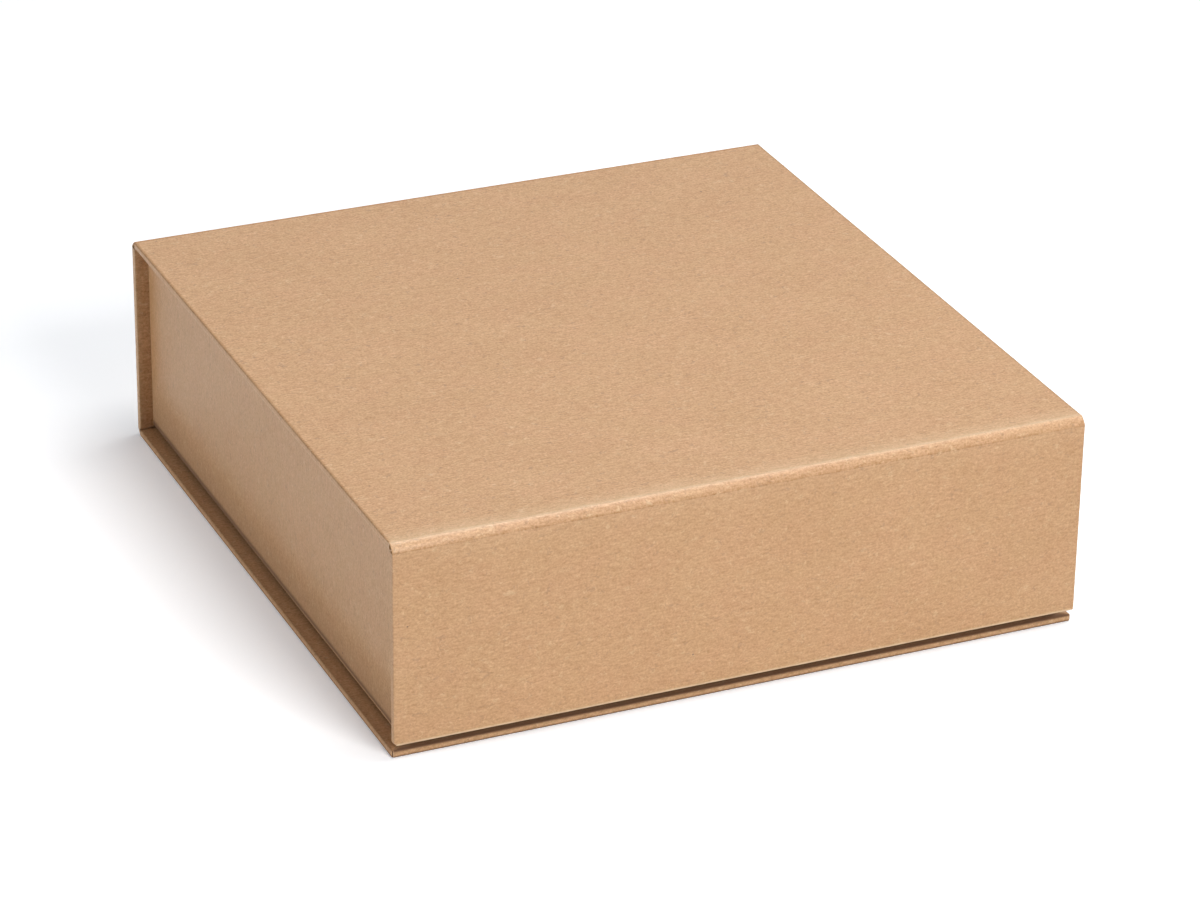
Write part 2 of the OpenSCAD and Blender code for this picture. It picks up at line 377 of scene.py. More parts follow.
def outline(sheet_panel, ys, xs, free):
    """Samples up the left side, round the end and down the right, or of each side alone between two folds.

    A sample is (x, y, outward x, outward y, reach behind, spread, pleat).
    """
    half, end, r = width / 2, sheet_panel.length, sheet_panel.corner
    side_reach = [min(turn_in, end - y - joint_gap / 2) if free else turn_in for y in ys]
    left = [(-half + r, y, -1, 0, reach, 0, 0) for y, reach in zip(ys, side_reach)]
    right = [(half - r, y, 1, 0, reach, 0, 0) for y, reach in zip(ys, side_reach)][::-1]
    if not free:
        return [left, right]
    turn = [(math.radians(a), pleat * MM) for a, pleat in PLEATS]
    near = r - joint_gap / 2
    left_corner = [
        (-half + r, end - r, -math.cos(a), math.sin(a), near, pleat, pleat) for a, pleat in turn]
    far = [(x, end - r, 0, 1, min(turn_in, half - abs(x) - joint_gap / 2), 0, 0) for x in xs]
    square = sheet_panel.wear_and_light["square"] * r
    spread = [square * (1 / max(math.sin(a), math.cos(a)) - 1) for a, pleat in turn]
    right_corner = [
        (half - r, end - r, math.sin(a), math.cos(a), near, max(out, pleat), pleat)
        for (a, pleat), out in zip(turn, spread)]
    return [left + left_corner + far + right_corner + right]


print("steps round a free corner:", len(PLEATS))

# %% The sheet on one panel
CORNER_SHADE = 4 * MM


def wrap(sheet_panel, free, seed):
    """The sheet of paper over one panel, turned in along its free edges."""
    half, r, worn = width / 2, sheet_panel.corner, sheet_panel.wear_and_light
    last = sheet_panel.length - (r if free else 0)
    breaks = [sheet_panel.length - turn_in - joint_gap / 2] if free else []
    side = half - turn_in - joint_gap / 2
    xs = lines(-half + r, half - r, extra=(-side, side))
    ys = lines(0, last, extra=breaks)
    sheet = Sheet(turned_over=sheet_panel.faces_in())

    def put(x, y, into, u, v, wear_and_light):
        ends = fade(y) * (1 if free else fade(sheet_panel.length - y))
        moved = hollow(u, sheet_panel.start + v, seed) * ends
        return sheet.point(sheet_panel.place(x, y, into - moved), (u, sheet_panel.start + v), wear_and_light)

    def crease_wear_and_light(x, y):
        first = fold_rub_and_highlight(x, y, *worn["first_fold"])
        return first if free else first + fold_rub_and_highlight(x, sheet_panel.length - y, *worn["last_fold"])

    grid = [[put(x, y, 0, x, y, crease_wear_and_light(x, y)) for x in xs] for y in ys]
    sheet.band(grid)
    for samples in outline(sheet_panel, ys, xs, free):
        rows = []
        for x, y, nx, ny, reach, spread, pleat in samples:
            row = [grid[nearest(ys, y)][nearest(xs, x)]]
            edge_wear_and_light = [s * nx * nx + e * ny * ny for s, e in zip(worn["side"], worn["end"])]
            deep = 1 + worn["under"] * ny * ny * fade(half - abs(x), CORNER_SHADE)
            for out, into, used, rubbing_and_painted_light in turn_over(r, reach, edge_wear_and_light, deep)[1:]:
                on_edge = 1 if out > -1.2 * edge_radius else 0
                far, flat = r + out + spread * on_edge, r + used
                # Pleats are painted pale where the paper stands out, partly rubbing and partly painted
                # highlight, and dark with painted shade where it dips.
                wear_and_light = rubbing_and_painted_light + worn["pleats"] * pleat / MM * on_edge + crease_wear_and_light(x, y) * (into < panel / 2)
                row.append(put(x + nx * far, y + ny * far, into, x + nx * flat, y + ny * flat, wear_and_light))
            rows.append(row)
        sheet.band([list(column) for column in zip(*rows)])
    return sheet


CREASE_WIDTH, BAND_WIDTH, RUB_AND_HIGHLIGHT_LENGTH = 0.7 * MM, 6.5 * MM, 10 * MM


def fold_rub_and_highlight(x, gap, line, band):
    """How the paper is marked beside a fold, partly rubbing and partly painted highlight: a thin line on the
    crease, and a broad band.
    """
    thin = line * math.exp(-((gap / CREASE_WIDTH) ** 2))
    uneven = 1 + 0.25 * noise.noise(Vector((x / RUB_AND_HIGHLIGHT_LENGTH, 0, 7.7)))
    return (thin + band * max(0, 1 - gap / BAND_WIDTH)) * uneven


def nearest(values, wanted):
    """The index of the value that is closest to the wanted one."""
    return min(range(len(values)), key=lambda k: abs(values[k] - wanted))


print("the sheet over the flap has", len(wrap(flap, True, 4).at), "points")

# %% The paper pressed over the board's end beside a fold
def end_cap(sheet_panel, y, inner):
    """Two small strips of the turned-in paper that cover the board's end at a fold, near the sides."""
    sheet = Sheet(turned_over=sheet_panel.faces_in() == (y > 0))
    for side in (-1, 1):
        xs = [side * inner, side * (width / 2 - 0.1 * MM)][::side]
        rows = []
        for into in (0.1 * MM, panel / 2, panel - 0.05 * MM):
            flat_y = sheet_panel.start + y + into
            rows.append([sheet.point(sheet_panel.place(x, y, into), (x, flat_y), 0) for x in xs])
        sheet.band(rows)
    return sheet


print("faces over one end of the flap's board:", len(end_cap(flap, 0, width / 2 - turn_in).faces))

# %% [markdown]
# ## Paper over a fold
#
# Between two panels there is no board, only the cover's paper and its lining, glued face to face. The double
# sheet leaves one panel flat, bends, runs across the corner and bends again, so the fold shows two soft
# creases. A curve whose ends point along the two panels does this, and its weight says how close it stays to
# a straight bevel.

# %% The strip that bends
ROUNDED_SIDE_MM = [0, 0.1, 0.22, 0.35]
HANDLED_RUB, HANDLED_LENGTH = 0.15, 20 * MM


def fold_strip(start, corner, end, start_at, wear_and_light, weight=0.3, steps=16):
    """The double sheet from one crease to the other, round the corner where the panels would meet."""
    start, corner, end = Vector(start), Vector(corner), Vector(end)
    xs = [-width / 2 + d * MM for d in ROUNDED_SIDE_MM]
    xs = xs + lines(xs[-1] + 0.4 * MM, -xs[-1] - 0.4 * MM) + [-x for x in xs[::-1]]
    rows, used, before = [], 0, start
    inward = ((start + end) / 2 - corner).normalized()
    flips = Vector((1, 0, 0)).cross(end - start).dot(inward) > 0
    sheet = Sheet(turned_over=flips)
    for k in range(steps + 1):
        t = k / steps
        a, b, c = (1 - t) ** 2, 2 * weight * t * (1 - t), t ** 2
        at = (start * a + corner * b + end * c) / (a + b + c)
        used += (at - before).length
        before = at
        row = []
        for x in xs:
            from_side = width / 2 - abs(x)
            round_off = max(0, edge_radius - from_side)
            sunk = edge_radius - math.sqrt(edge_radius ** 2 - round_off ** 2)
            place = at + Vector((x, 0, 0)) + inward * min(sunk, paper)
            row.append(sheet.point(place, (x, start_at + used), strip_wear_and_light(x, t, *wear_and_light)))
        rows.append(row)
    sheet.band(rows)
    return sheet


def strip_wear_and_light(x, t, first, last):
    """The marks from the strip's first crease to its last, with more rubbing near its left end."""
    handled = HANDLED_RUB * math.exp(-(x + width / 2) / HANDLED_LENGTH)
    first_line = math.exp(-((t * fold_length / CREASE_WIDTH) ** 2))
    return first * first_line + last * fade(t, 1) + handled * (1 - abs(2 * t - 1))


lid_creases = (0, back, height - crease), (0, back, height), (0, back - crease, height)
flap_creases = (0, front + crease, height), (0, front, height), (0, front, height - crease)
base_creases = (0, back - crease, 0), (0, back, 0), (0, back, crease)
print("paper across a fold: %.2f mm" % (fold_length / MM))

# %% The cover's paper: base and spine, lid, flap, and the two hinges between them
hinge_thickness = 2 * paper
beside_lining = width / 2 - lining_inset - 0.1 * MM
beside_bare_board = width / 2 - turn_in
base_and_spine = [
    wrap(base, True, 1), end_cap(base, 0, beside_bare_board), wrap(spine, False, 2),
    end_cap(spine, 0, beside_lining), end_cap(spine, spine.length, beside_bare_board),
]
lid_sheets = [wrap(lid, False, 3), end_cap(lid, 0, beside_lining), end_cap(lid, lid.length, beside_lining)]
base_strip = fold_strip(*base_creases, base_length, (0.2, 0.2))
lid_strip = fold_strip(*lid_creases, spine_start + spine_length, (0.2, -0.2))
# The flap's fold: a pale line on its upper crease, partly rubbing and partly painted highlight, and painted
# shade that deepens towards the flap.
flap_strip = fold_strip(*flap_creases, lid_start + lid_length, (0.42, -0.22))
base_spine_paper = paper_piece("base_and_spine_paper", base_and_spine)
base_fold = paper_piece("base_fold_paper", [base_strip], hinge_thickness)
lid_paper = paper_piece("lid_paper", lid_sheets)
flap_paper = paper_piece("flap_paper", [wrap(flap, True, 4), end_cap(flap, 0, beside_lining)])
lid_hinge_paper = paper_piece("lid_hinge_paper", [lid_strip], hinge_thickness)
flap_hinge_paper = paper_piece("flap_hinge_paper", [flap_strip], hinge_thickness)

# %% [markdown]
# ## The lining inside the cover
#
# A second sheet covers the inside of the panels and hides the turned-in edges. It lies on those edges near
# its border and on the bare board in the middle, so it steps down by one thickness of paper. Seen at a low
# angle, that faint step is what tells a wrapped board from a solid one.

# %% Sheets that line a panel
LINING_RADIUS = 0.3 * MM
STEP_HALF = 0.4 * MM
LINING_HOLLOW = 0.03 * MM
LINING_SPACING = 2.5 * MM


def line_panel(sheet_panel, half, end, turn, far_end, seed, rings=()):
    """A lining that starts at the fold, goes round the board's end and lies on the panel's inner side."""
    r = LINING_RADIUS
    round_end = [(r - r * math.cos(a), lined - r + r * math.sin(a)) for a in arc()]
    step_x, step_y = half - turn, end - turn if turn < end and not far_end else end
    beside_step = [side * (step_x + by) for by in (-STEP_HALF, STEP_HALF) for side in (-1, 1)]
    across = lines(-half, half, LINING_SPACING, beside_step)
    along = lines(r, end - (r if far_end else 0), LINING_SPACING, (step_y - STEP_HALF, step_y + STEP_HALF))
    profile = [(0, paper), (0, panel / 2), (0, lined - r)] + round_end + [(y, lined) for y in along[1:]]
    if far_end:
        profile += [(end - y, d) for y, d in round_end[::-1][1:]]
        profile += [(end, lined - r), (end, panel / 2), (end, paper)]
    sheet = Sheet(turned_over=not sheet_panel.faces_in())
    rows, used, before = [], 0, profile[0]
    for y, into in profile:
        used += math.hypot(y - before[0], into - before[1])
        before = (y, into)
        row = []
        for x in across:
            inside_x = fade(step_x + STEP_HALF - abs(x), 2 * STEP_HALF)
            inside = inside_x * fade(step_y + STEP_HALF - y, 2 * STEP_HALF)
            on_top = into >= lined - ROUNDING
            level = into - (paper * inside if on_top else 0)
            bump = hollow(x, sheet_panel.start + y, seed, LINING_HOLLOW) * fade(y) * fade(end - y)
            ring = sum(ring_mark(x - cx, y - cy) for cx, cy in rings) if on_top else 0
            at = sheet_panel.place(x, y, level + bump + ring)
            row.append(sheet.point(at, (x, sheet_panel.start + used), 0))
        rows.append(row)
    sheet.band(rows)
    return sheet


MAGNET_RADIUS = 6 * MM
RING_HEIGHT, RING_WIDTH = 0.05 * MM, 0.7 * MM


def ring_mark(dx, dy):
    """The faint rim that a magnet's edge raises in the paper over it."""
    off = (math.hypot(dx, dy) - MAGNET_RADIUS) / RING_WIDTH
    return RING_HEIGHT * math.exp(-off * off)


print("rim over a magnet: %.2f mm high" % (ring_mark(MAGNET_RADIUS, 0) / MM))

# %% The linings of the lid, the flap and the spine
half_lining = width / 2 - lining_inset
flat_part = turn_in - lining_inset + paper
magnet_low, magnet_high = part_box("flap_magnets")
magnet_x = magnet_high.x - MAGNET_RADIUS
magnet_y = height - crease - (magnet_low.z + magnet_high.z) / 2
flap_rings = [(-magnet_x, magnet_y), (magnet_x, magnet_y)]
flap_lining_length = flap.length - lining_inset
lid_sheet = line_panel(lid, half_lining, lid.length, flat_part, True, 11)
flap_sheet = line_panel(flap, half_lining, flap_lining_length, flat_part, False, 12, flap_rings)
lid_lining = paper_piece("lid_lining_paper", [lid_sheet])
flap_lining = paper_piece("flap_lining_paper", [flap_sheet])
spine_half = (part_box("spine_lining")[1].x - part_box("spine_lining")[0].x) / 2
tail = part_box("spine_lining")[1].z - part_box("spine_lining")[0].z
spine_sheet = line_panel(spine, spine_half, tail, 2 * tail, False, 13)
spine_lining = paper_piece("spine_lining_paper", [spine_sheet])

# %% [markdown]
# ## Wrapping the tray
#
# The tray's sheet is cut like a cross. Each of its four sides starts under the floor, comes round the fold,
# goes up the wall, over the rim and down inside. So one path in section, run along each wall, makes the whole
# tray. Each wall is its own sheet from corner to corner, and its grain turns with the cut, as it does on the
# real one. Its outside has painted shade at the foot, darkest round the fold and fading out up the wall.
# Towards one end of each wall, the front end of the left wall, that painted shade is lifted to a paler line.

# %% The tray's walls in section
tray_low, tray_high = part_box("tray_wrap")
tray_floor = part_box("tray_floor_lining")[0].z
tray_wall = panel
foot_radius = 2.2 * MM
corner_radius = 0.45 * MM
# Degrees round the foot, the painted shade there, and how much of it is lifted towards one end of the wall
FOOT_ARC_SHADE = [
    (10, -1.4, 0), (30, -1.4, 0), (45, -1.4, 0), (55, -1.3, 0),
    (62, -1.1, 0.9), (72, -1.1, 1.15), (80, -1.1, 0.9)]
UNDER_FLOOR = [turn_in, 9 * MM, 4 * MM, foot_radius]
# Painted shade on the outside of each wall: darker towards the foot over 26 mm, and a darker band just above
# the fold
PAINTED_WALL_SHADE, PAINTED_WALL_SHADE_HEIGHT = -0.42, 26 * MM
PAINTED_FOOT_SHADE, PAINTED_FOOT_SHADE_FROM, PAINTED_FOOT_SHADE_HEIGHT = -0.7, 0.4 * MM, 1.4 * MM


def wall_section():
    """(inset, height, painted shade and rubbing, lift towards one end) from under the floor, up outside, over
    the rim, to the floor inside.
    """
    low, high, r, foot = tray_low.z, tray_high.z, edge_radius, foot_radius
    section = [(inset, low, 0, 0) for inset in UNDER_FLOOR]
    for degrees, worn, lift_near_end in FOOT_ARC_SHADE:
        a = math.radians(degrees)
        section.append((foot * (1 - math.sin(a)), low + foot * (1 - math.cos(a)), worn, lift_near_end))
    for z in lines(low + foot, high - r):
        # Painted shade, deepest at the foot of the wall
        broad = PAINTED_WALL_SHADE * (1 - fade(z - low, PAINTED_WALL_SHADE_HEIGHT))
        narrow = PAINTED_FOOT_SHADE * (1 - fade(z - low - foot - PAINTED_FOOT_SHADE_FROM, PAINTED_FOOT_SHADE_HEIGHT))
        section.append((0, z, broad + narrow, 0))
    section += [(r - r * math.cos(a), high - r + r * math.sin(a), 0.6, 0) for a in arc()]
    section += [(tray_wall / 2, high, 0.25, 0), (tray_wall - r, high, 0.4, 0)]
    section += [(tray_wall - r + r * math.sin(a), high - r + r * math.cos(a), 0.5, 0) for a in arc()]
    section += [(tray_wall, z, 0, 0) for z in lines(tray_floor, high - r)[::-1][1:]]
    return section


print("points in the tray's section:", len(wall_section()))


# %% One wall of the tray
SHARPEST = 0.03 * MM
WALL_HOLLOW = 0.04 * MM
CORNER_RUB = 0.45


def wall(outward, centre, half_across, half_along, seed, grain_up):
    """The sheet of one wall, between the middles of its two corners."""
    side = Vector((-outward.y, outward.x, 0))
    sheet = Sheet()
    rows, used, before = [], 0, None
    for inset, z, worn, lift_near_end in wall_section():
        if before:
            used += math.hypot(inset - before[0], z - before[1])
        before = (inset, z)
        r = max(corner_radius - inset, SHARPEST)
        straight = half_along - inset - r
        widest = half_along - corner_radius
        spots = [(s / widest * straight, 0, 0) for s in lines(-widest, widest)]
        angles = [math.radians(a) for a in (11.25, 22.5, 33.75, 45)]
        corner = [(straight + r * math.sin(a), r * (1 - math.cos(a)), 1) for a in angles]
        spots = [(-s, back_by, w) for s, back_by, w in corner[::-1]] + spots + corner
        row = []
        for s, back_by, corner_worn in spots:
            edges = fade(half_along - abs(s)) * fade(tray_high.z - z, 4 * MM)
            moved = hollow(s + seed, z + inset, seed, WALL_HOLLOW) * edges
            at = centre + outward * (half_across - inset - back_by + moved) + side * s
            flat = (used, s + seed) if grain_up else (s + seed, used)
            outside = inset < tray_wall / 2
            wear_and_light = worn + lift_near_end * fade(s + 0.6 * half_along, 1.6 * half_along)
            wear_and_light = max(wear_and_light, CORNER_RUB * corner_worn) if outside and corner_worn else wear_and_light
            row.append(sheet.point((at.x, at.y, z), flat, wear_and_light))
        rows.append(row)
    sheet.band(rows)
    return sheet


middle = (tray_low + tray_high) / 2
centre = Vector((middle.x, middle.y, 0))
half_x, half_y = (tray_high.x - tray_low.x) / 2, (tray_high.y - tray_low.y) / 2
walls = [
    wall(Vector((-1, 0, 0)), centre, half_x, half_y, 21, True),
    wall(Vector((1, 0, 0)), centre, half_x, half_y, 22, True),
    wall(Vector((0, -1, 0)), centre, half_y, half_x, 23, False),
    wall(Vector((0, 1, 0)), centre, half_y, half_x, 24, False),
]
tray_paper = paper_piece("tray_paper", walls)

# %% The sheet on the tray's floor
floor_low, floor_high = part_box("tray_floor_lining")


def flat_sheet(low, high, seed):
    """A sheet that lies flat between two corners of a box."""
    sheet = Sheet()
    rows = []
    for y in lines(low.y, high.y):
        row = [(x, y, high.z + hollow(x, y, seed, LINING_HOLLOW)) for x in lines(low.x, high.x)]
        rows.append([sheet.point(at, at[:2], 0) for at in row])
    sheet.band(rows)
    return sheet


floor_lining = paper_piece("tray_floor_paper", [flat_sheet(floor_low, floor_high, 31)])

# %% [markdown]
# ## Kraft paper
#
# Kraft paper is unbleached, so its colour is that of the wood fibres themselves. From far away it is an even
# light brown. Close up it has a streaky grain in the direction the paper machine ran, fine fuzz, curled
# fibres that are lighter or darker than the rest, and a few dark specks of bark. A photograph of paper would
# do, but noise in the sheet's own flat coordinates never repeats and needs no picture. Where a point's mark
# is above 0 its colour is paler, for rubbing and for painted highlights; where it is below 0 it is darker
# and duller, for pressing and for painted shade. The grain shows less on the flap and the tray than on the
# rest, so the finish takes the strength of its grain. All sizes in these nodes are in millimetres on the
# flat sheet.

# %% A short way to add shader nodes
def add(tree, kind, settings=None, **inputs):
    """A shader node with its settings, and its inputs given as values or as another node's output."""
    made = tree.nodes.new("ShaderNode" + kind)
    for name, value in (settings or {}).items():
        setattr(made, name, value)
    for name, value in inputs.items():
        name = name.strip("_").replace("_", " ")
        socket = made.inputs[int(name)] if name.isdigit() else made.inputs[name]
        if isinstance(value, bpy.types.NodeSocket):
            tree.links.new(value, socket)
        else:
            socket.default_value = value
    return made


def sums(tree, operation, first, second=0.0, third=0.0):
    """The result of a sum on two or three values."""
    return add(tree, "Math", {"operation": operation}, _0=first, _1=second, _2=third).outputs[0]


def ramp(tree, value, low, high, to_low=0.0, to_high=1.0):
    """A value moved smoothly from one range to another, and held at its ends."""
    made = add(tree, "MapRange", {"interpolation_type": "SMOOTHSTEP"}, Value=value)
    for name, number in (("From Min", low), ("From Max", high), ("To Min", to_low), ("To Max", to_high)):
        made.inputs[name].default_value = number
    return made.outputs["Result"]


def blend_colours(tree, factor, first, second, way="MIX"):
    """Two colours mixed by a factor, in one of the usual ways."""
    settings = {"data_type": "RGBA", "blend_type": way}
    return add(tree, "Mix", settings, _0=factor, _6=first, _7=second).outputs[2]


def new_material(name):
    """An empty material and its node tree."""
    made = bpy.data.materials.new(name)
    made.use_nodes = True
    made.node_tree.nodes.clear()
    return made, made.node_tree


print("shader helpers are ready")

# %% Noise on the flat sheet
def millimetres(tree, along, across, seed=0.0):
    """The flat place on the sheet, divided by a feature's length along and across the grain, in mm."""
    flat = add(tree, "UVMap", {"uv_map": "flat_sheet"}).outputs[0]
    moved, scale = (seed * 3.7, seed * 5.1, seed), (1000 / along, 1000 / across, 1)
    return add(tree, "Mapping", Vector=flat, Location=moved, Scale=scale).outputs[0]


def cloud(tree, along, across, seed, detail=2.0, rough=0.5, warp=0.0):
    """Noise from 0 to 1 whose features have that size in mm."""
    made = add(tree, "TexNoise", Vector=millimetres(tree, along, across, seed), Scale=1.0)
    for name, number in (("Detail", detail), ("Roughness", rough), ("Distortion", warp)):
        made.inputs[name].default_value = number
    return made.outputs[0]


print("noise helpers are ready")

# %% Fibres and specks
def fibres(tree, length, seed, width_share=0.05, amount=0.58):
    """Short curled fibres: thin contour lines of a noise, cut into pieces by another noise."""
    field = cloud(tree, length, length * 0.8, seed, 1.0, 0.4, 0.8)
    off_line = sums(tree, "ABSOLUTE", sums(tree, "SUBTRACT", field, 0.5))
    line = ramp(tree, off_line, 0, width_share, 1, 0)
    kept = ramp(tree, cloud(tree, length * 0.9, length * 0.7, seed + 3.3, 1.0), amount, amount + 0.08)
    return sums(tree, "MULTIPLY", line, kept)


def specks(tree, spacing, radius, seed, share):
    """Dark dots of uneven size, in a share of the cells of a scattered pattern."""
    cells = add(tree, "TexVoronoi", Vector=millimetres(tree, spacing, spacing, seed), Scale=1.0)
    chance = add(tree, "SeparateColor", Color=cells.outputs["Color"])
    present = ramp(tree, chance.outputs[0], share, share * 0.9, 0, 1)
    reach = sums(tree, "MULTIPLY", sums(tree, "ADD", chance.outputs[1], 0.35), radius / spacing)
    dot = ramp(tree, sums(tree, "DIVIDE", cells.outputs["Distance"], reach), 0.6, 1.1, 1, 0)
    return sums(tree, "MULTIPLY", dot, present)


print("fibres and specks are ready")

# %% The paper's finish
KRAFT = (0.503, 0.283, 0.129, 1)
KRAFT_PALE = (0.78, 0.60, 0.38, 1)
KRAFT_ROSE = (0.507, 0.278, 0.129, 1)
# Dark pressed paper, also used for painted shade
KRAFT_PRESSED_AND_SHADE = (0.10, 0.037, 0.008, 1)
BARK = (0.12, 0.06, 0.03, 1)
# Pale grain is greyer than the paper and dark grain is browner, so blue changes most and red least
GREYING = (1.0, 1.35, 2.1)
STREAK_STRENGTH, FUZZ_STRENGTH, BROAD_STRENGTH = 0.58, 0.95, 0.14
FIBRE_STRENGTH, SPECK_STRENGTH, PRESS_AND_SHADE_STRENGTH = 0.30, 0.75, 0.8


def kraft_paper(name, grain=1.0):
    """Kraft paper with grain, fuzz, fibres and specks, painted pale for rubbing and highlights and dark for
    pressing and shade.
    """
    material, tree = new_material(name)
    patches = cloud(tree, 16, 12, 1, 3.0, 0.6)
    colour = blend_colours(tree, ramp(tree, patches, 0.35, 0.68), KRAFT, KRAFT_ROSE)
    streaks = cloud(tree, 3.2, 0.85, 2, 2.0, 0.55, 0.5)
    fuzz = cloud(tree, 0.75, 0.62, 3, 2.0, 0.6, 0.4)
    broad = cloud(tree, 30, 20, 4, 3.0, 0.55)
    light = sums(tree, "MULTIPLY", sums(tree, "SUBTRACT", streaks, 0.5), STREAK_STRENGTH * grain)
    light = sums(tree, "MULTIPLY_ADD", sums(tree, "SUBTRACT", fuzz, 0.5), FUZZ_STRENGTH * grain, light)
    light = sums(tree, "MULTIPLY_ADD", sums(tree, "SUBTRACT", broad, 0.5), BROAD_STRENGTH, light)
    share = [sums(tree, "MULTIPLY_ADD", light, by, 1.0) for by in GREYING]
    tone = add(tree, "CombineColor", _0=share[0], _1=share[1], _2=share[2]).outputs[0]
    colour = blend_colours(tree, 1.0, colour, tone, "MULTIPLY")
    dark_fibres, pale_fibres = fibres(tree, 3.0, 5), fibres(tree, 2.6, 6, 0.045, 0.56)
    for curls, curl_colour in ((dark_fibres, BARK), (pale_fibres, KRAFT_PALE)):
        strength = sums(tree, "MULTIPLY", curls, FIBRE_STRENGTH * grain)
        colour = blend_colours(tree, strength, colour, curl_colour)
    dots = sums(tree, "MAXIMUM", specks(tree, 9, 0.34, 7, 0.3), specks(tree, 3.5, 0.16, 8, 0.25))
    colour = blend_colours(tree, sums(tree, "MULTIPLY", dots, SPECK_STRENGTH), colour, BARK)
    # A mark above 0 paints the paper paler, for rubbing and painted highlights; below 0 it paints it darker
    # and duller, for pressing and painted shade.
    worn = add(tree, "Attribute", {"attribute_name": "worn"}).outputs["Fac"]
    broken = ramp(tree, cloud(tree, 5, 2, 9, 3.0, 0.6), 0.3, 0.65, 0.55, 0.95)
    rubbing_and_painted_light = sums(tree, "MULTIPLY", sums(tree, "MAXIMUM", worn, 0.0), broken)
    pressed_and_shade = sums(tree, "MULTIPLY", sums(tree, "MINIMUM", worn, 0.0), -PRESS_AND_SHADE_STRENGTH)
    colour = blend_colours(tree, rubbing_and_painted_light, colour, KRAFT_PALE)
    colour = blend_colours(tree, pressed_and_shade, colour, KRAFT_PRESSED_AND_SHADE)
    relief = sums(tree, "MULTIPLY_ADD", streaks, 0.6, sums(tree, "MULTIPLY", fuzz, 0.5))
    relief = sums(tree, "MULTIPLY_ADD", pale_fibres, 0.15, relief)
    bump = add(tree, "Bump", Height=relief, Strength=0.14, Distance=0.05 * MM)
    rough = ramp(tree, pressed_and_shade, 0.0, 0.2, 0.45, 0.85)
    shader = add(tree, "BsdfPrincipled", Base_Color=colour, Roughness=rough, Normal=bump.outputs[0])
    shader.inputs["Specular IOR Level"].default_value = 0.85
    add(tree, "OutputMaterial", Surface=shader.outputs[0])
    return material


kraft = kraft_paper("kraft_paper")
smooth_kraft = kraft_paper("smooth_kraft_paper", 0.75)
lining_kraft = kraft_paper("kraft_lining_paper", 0.9)
for piece in (base_spine_paper, base_fold, lid_paper, lid_hinge_paper, flap_hinge_paper):
    piece.data.materials.append(kraft)
for piece in (flap_paper, tray_paper):
    piece.data.materials.append(smooth_kraft)
for piece in (lid_lining, flap_lining, spine_lining, floor_lining):
    piece.data.materials.append(lining_kraft)
print("paper finishes:", [m.name for m in (kraft, smooth_kraft, lining_kraft)])

# %% [markdown]
# ## Grey board and magnets
#
# Grey board is pulped waste paper, with flecks of many colours in a dull grey. It only shows where the flap's
# corners are mitred, but a part that may be taken to pieces needs a finish everywhere. The magnets are plated
# with nickel, which is bright metal with a very fine, uneven haze.

# %% The board's and the magnets' finish
BOARD_GREY, FLECK_BLUE = (0.27, 0.25, 0.22, 1), (0.09, 0.10, 0.14, 1)
NICKEL_DARK, NICKEL_LIGHT = (0.58, 0.57, 0.55, 1), (0.70, 0.69, 0.66, 1)


def grey_board(name):
    """Dull grey pulp board with dark flecks."""
    material, tree = new_material(name)
    place = add(tree, "TexCoord").outputs["Object"]
    flecks = add(tree, "TexNoise", Vector=place, Scale=900.0, Detail=3.0, Roughness=0.7)
    cells = add(tree, "TexVoronoi", Vector=place, Scale=500.0)
    tone = ramp(tree, flecks.outputs[0], 0.3, 0.7, 0.8, 1.15)
    tone = add(tree, "CombineColor", _0=tone, _1=tone, _2=tone).outputs[0]
    colour = blend_colours(tree, 1.0, BOARD_GREY, tone, "MULTIPLY")
    dots = ramp(tree, cells.outputs["Distance"], 0.08, 0.2, 0.5, 0)
    colour = blend_colours(tree, dots, colour, FLECK_BLUE)
    bump = add(tree, "Bump", Height=flecks.outputs[0], Strength=0.5, Distance=0.05 * MM)
    shader = add(tree, "BsdfPrincipled", Base_Color=colour, Normal=bump.outputs[0])
    shader.inputs["Roughness"].default_value = 0.9
    add(tree, "OutputMaterial", Surface=shader.outputs[0])
    return material


def plated_magnet(name):
    """Nickel plate with a fine, uneven haze."""
    material, tree = new_material(name)
    place = add(tree, "TexCoord").outputs["Object"]
    haze = add(tree, "TexNoise", Vector=place, Scale=700.0, Detail=4.0)
    rough = ramp(tree, haze.outputs[0], 0.3, 0.7, 0.16, 0.34)
    colour = blend_colours(tree, haze.outputs[0], NICKEL_DARK, NICKEL_LIGHT)
    shader = add(tree, "BsdfPrincipled", Base_Color=colour, Roughness=rough)
    shader.inputs["Metallic"].default_value = 1.0
    add(tree, "OutputMaterial", Surface=shader.outputs[0])
    return material


board, nickel = grey_board("grey_board"), plated_magnet("nickel_plate")
board_nodes = ["base_board", "spine_board", "lid_board", "flap_board", "tray_board"]
magnet_nodes = ["flap_magnets", "tray_magnets"]
for names, material in ((board_nodes, board), (magnet_nodes, nickel)):
    for name in names:
        nodes[name].data.materials.clear()
        nodes[name].data.materials.append(material)
print("board pieces:", len(board_nodes), "magnet pieces:", len(magnet_nodes))

# %% [markdown]
# ## Which piece moves with what
#
# The base, the spine and the tray are glued together and stay still. The lid hinges on the spine, and the
# flap on the lid. Every paper piece rides on the part it is glued to. The two hinge strips ride on nothing:
# their place is baked into their points.

